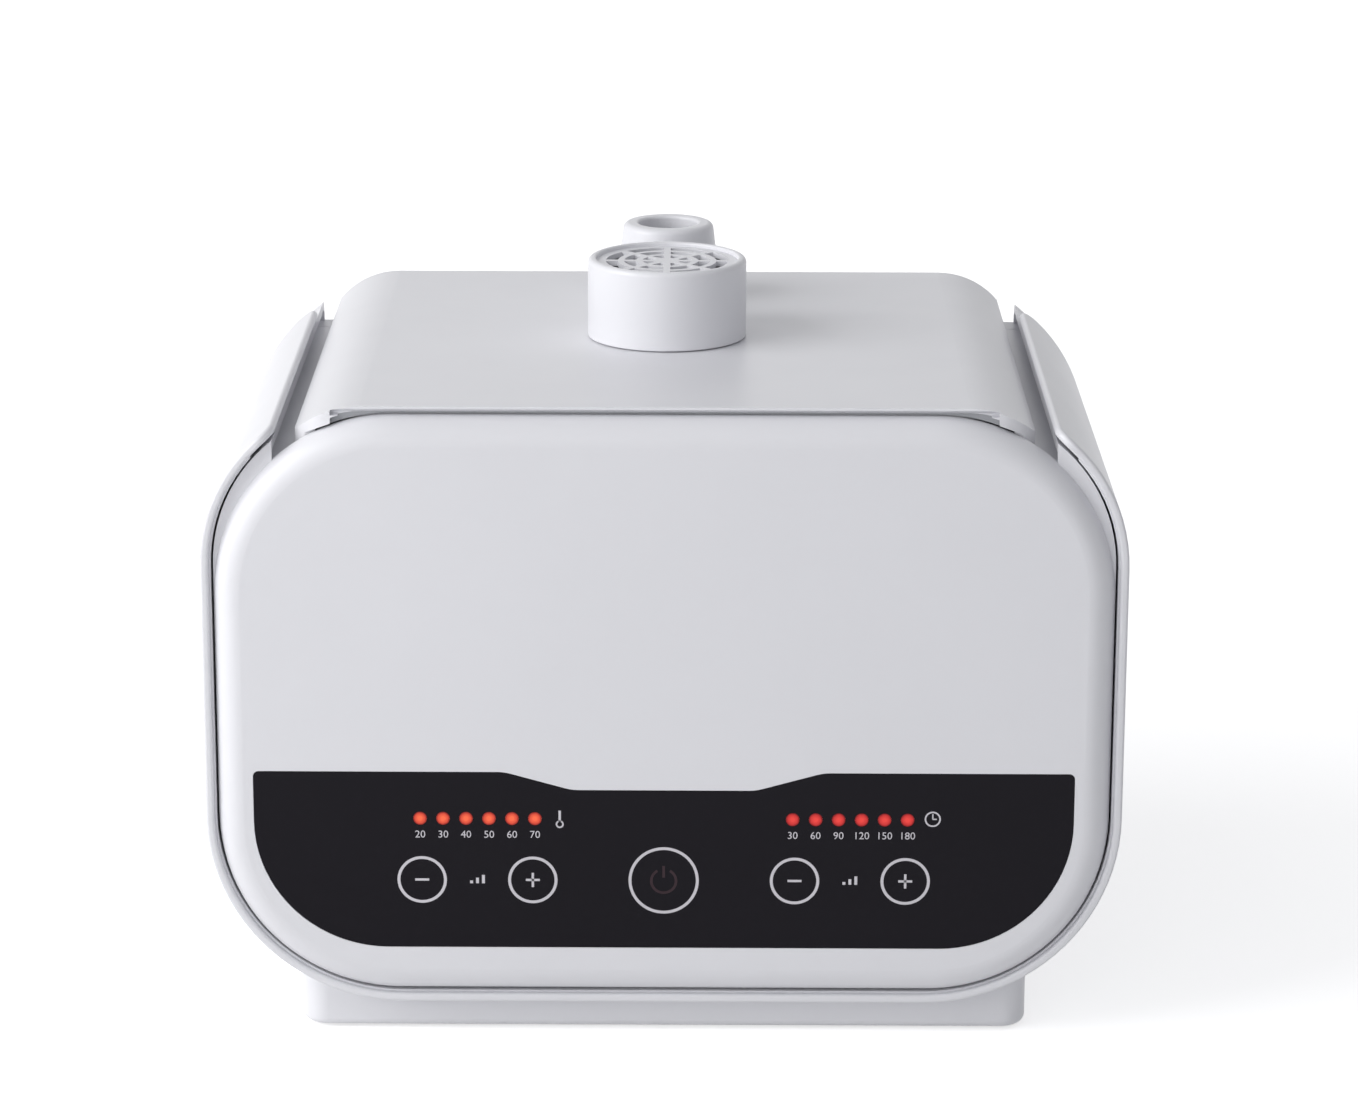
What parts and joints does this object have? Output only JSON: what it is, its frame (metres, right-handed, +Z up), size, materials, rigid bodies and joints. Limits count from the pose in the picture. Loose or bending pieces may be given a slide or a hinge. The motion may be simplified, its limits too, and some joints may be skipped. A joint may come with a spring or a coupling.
{
  "type": "filament dryer box",
  "caption": "Moulded filament drying box with a hinged lid, turning vent cap, filament outlet, wrap-round band, touch window, spool rollers, fan and heater.",
  "frame": {"origin": "on the table under the middle of the whole box, lid closed", "axes": "+Z up; the control window faces -Y, so +X points to the right of someone who looks at it"},
  "size_m": [0.34, 0.2594, 0.2754],
  "materials": {
    "white_shell": "satin moulded",
    "grey_plastic": "matte moulded",
    "black_plastic": "matte moulded",
    "black_window": "polished",
    "red_lens": "translucent",
    "led_body": "translucent",
    "contact_foam": "soft",
    "circuit_board": "coated",
    "screw_steel": "plated",
    "bare_aluminium": "mill",
    "brass_contact": "plain",
    "copper_winding": "enamelled",
    "dark_rubber": "matte",
    "grey_silicone": "soft",
    "filter_foam": "open foam",
    "black_cable": "matte"
  },
  "bodies": {
    "housing": {"body_sleeve": "white_shell", "front_panel": "white_shell", "rear_cover": "white_shell", "outer_band": "white_shell", "base_plinth": "white_shell", "rubber_feet": "dark_rubber", "control_window": "black_window", "indicator_lenses": "red_lens", "indicator_leds": "led_body", "touch_pads": "contact_foam", "touch_board": "circuit_board", "touch_board_parts": "black_plastic", "touch_board_screws": "screw_steel", "hinge_pins": "screw_steel", "chamber_tub": "grey_plastic", "left_cradle": "grey_plastic", "right_cradle": "grey_plastic", "cradle_screws": "screw_steel", "axle_bearings": "screw_steel", "fan_frame": "black_plastic", "fan_motor": "copper_winding", "fan_screws": "screw_steel", "air_duct": "black_plastic", "heater_frame": "black_plastic", "heater_bars": "bare_aluminium", "heater_fins": "bare_aluminium", "thermal_cutout": "black_plastic", "power_board": "circuit_board", "power_board_parts": "black_plastic", "power_board_screws": "screw_steel", "power_inlet": "black_plastic", "inlet_pins": "brass_contact", "humidity_sensor": "grey_plastic", "wiring": "black_cable", "panel_screws": "screw_steel", "rear_cover_screws": "screw_steel", "base_screws": "screw_steel"},
    "lid": {"lid_cover": "white_shell", "vent_collar": "white_shell", "gasket_carrier": "white_shell", "lid_gasket": "grey_silicone", "vent_filter": "filter_foam", "filament_port": "white_shell", "port_seal": "grey_silicone", "port_nut": "grey_plastic"},
    "vent_cap": {"vent_cap": "white_shell"},
    "front_roller": {"front_roller_axle": "screw_steel", "front_roller_wheels": "grey_plastic", "front_roller_tyres": "dark_rubber"},
    "rear_roller": {"rear_roller_axle": "screw_steel", "rear_roller_wheels": "grey_plastic", "rear_roller_tyres": "dark_rubber"},
    "fan_rotor": {"fan_rotor": "black_plastic"}
  },
  "joints": [
    {"name": "lid_hinge", "type": "hinge", "parent": "housing", "child": "lid", "pos_m": [0, 0.12525, 0.221], "axis": [-1, 0, 0], "range_deg": [0, 100]},
    {"name": "vent_cap_turn", "type": "hinge", "parent": "lid", "child": "vent_cap", "pos_m": [0, -0.00475, 0.2601], "axis": [0, 0, 1], "range_deg": [0, 45]},
    {"name": "front_roller_spin", "type": "hinge", "parent": "housing", "child": "front_roller", "pos_m": [0, -0.06575, 0.0434], "axis": [1, 0, 0], "continuous": true},
    {"name": "rear_roller_spin", "type": "hinge", "parent": "housing", "child": "rear_roller", "pos_m": [0, 0.05825, 0.0434], "axis": [1, 0, 0], "continuous": true},
    {"name": "fan_spin", "type": "hinge", "parent": "housing", "child": "fan_rotor", "pos_m": [-0.145, -0.00375, 0.1204], "axis": [1, 0, 0], "continuous": true}
  ]
}
